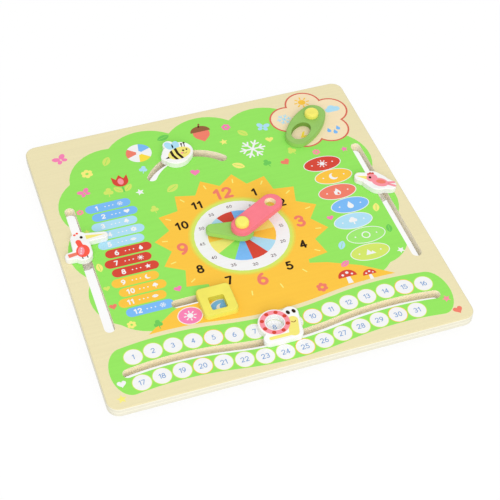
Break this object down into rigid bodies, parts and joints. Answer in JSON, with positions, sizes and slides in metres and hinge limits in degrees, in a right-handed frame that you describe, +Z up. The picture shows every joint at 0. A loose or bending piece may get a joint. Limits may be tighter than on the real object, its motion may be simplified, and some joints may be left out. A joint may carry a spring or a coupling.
{
  "type": "clock calendar board",
  "caption": "Square wooden learning board with calendar figures that slide in slots, a clock dial with turning hands and a weather dial with an egg-shaped pointer, lying flat on round pads.",
  "frame": {"origin": "middle of the panel's square outline, on the plane that the four pads stand on", "axes": "+X to the panel's right edge, +Y to its back edge (the top of the printed picture), +Z up from the pads to the printed face"},
  "size_m": [0.3, 0.3, 0.0317],
  "materials": {
    "panel_ply": "smooth sanded plywood with a printed face",
    "peg_yellow": "glossy yellow paint on wood",
    "hand_green": "satin green paint on plywood",
    "hand_pink": "satin pink paint on plywood",
    "pointer_green": "satin green paint on plywood",
    "frame_yellow": "satin yellow paint on plywood",
    "figure_white": "white lacquered plywood with a printed face",
    "dowel_wood": "plain beech dowel",
    "disc_wood": "plain plywood",
    "steel": "zinc-plated steel",
    "pad_rubber": "matt off-white rubber"
  },
  "bodies": {
    "panel": {"board": "panel_ply", "foot_front_left": "pad_rubber", "foot_front_right": "pad_rubber", "foot_back_left": "pad_rubber", "foot_back_right": "pad_rubber", "clock_peg": "peg_yellow", "clock_washer": "disc_wood", "weather_peg": "peg_yellow"},
    "hour_hand": {"hour_hand": "hand_green"},
    "minute_hand": {"minute_hand": "hand_pink"},
    "weather_pointer": {"weather_pointer": "pointer_green"},
    "day_slider": {"day_plate": "figure_white", "day_pin": "steel", "day_rear_disc": "disc_wood"},
    "month_slider": {"month_plate": "figure_white", "month_peg": "dowel_wood", "month_rear_disc": "disc_wood", "month_screw": "steel"},
    "weekday_slider": {"weekday_plate": "figure_white", "weekday_peg": "dowel_wood", "weekday_rear_disc": "disc_wood", "weekday_screw": "steel"},
    "season_slider": {"season_plate": "figure_white", "season_peg": "dowel_wood", "season_rear_disc": "disc_wood", "season_screw": "steel"},
    "am_pm_slider": {"am_pm_plate": "frame_yellow", "am_pm_peg": "dowel_wood", "am_pm_rear_disc": "disc_wood", "am_pm_screw": "steel"}
  },
  "joints": [
    {"name": "hour_hand_turn", "type": "hinge", "parent": "panel", "child": "hour_hand", "pos_m": [0.0012, -0.0091, 0.014], "axis": [0, 0, 1], "continuous": true},
    {"name": "minute_hand_turn", "type": "hinge", "parent": "panel", "child": "minute_hand", "pos_m": [0.0012, -0.0091, 0.014], "axis": [0, 0, 1], "continuous": true},
    {"name": "weather_turn", "type": "hinge", "parent": "panel", "child": "weather_pointer", "pos_m": [0.107, 0.108, 0.014], "axis": [0, 0, 1], "continuous": true},
    {"name": "month_slide", "type": "slide", "parent": "panel", "child": "month_slider", "axis": [0, 1, 0], "range_m": [-0.0842, 0.0497]},
    {"name": "weekday_slide", "type": "slide", "parent": "panel", "child": "weekday_slider", "axis": [0, 1, 0], "range_m": [-0.0817, 0.0522]},
    {"name": "season_swing", "type": "hinge", "parent": "panel", "child": "season_slider", "pos_m": [-0.0165, 0.058, 0.014], "axis": [0, 0, 1], "range_deg": [-57, 50]},
    {"name": "am_pm_slide", "type": "slide", "parent": "panel", "child": "am_pm_slider", "axis": [1, 0, 0], "range_m": [-0.0302, 0.0067]},
    {"name": "day_swing", "type": "hinge", "parent": "panel", "child": "day_slider", "pos_m": [0, 0.99817, 0.014], "axis": [0, 0, 1], "range_deg": [-5.8, 6.2]}
  ]
}
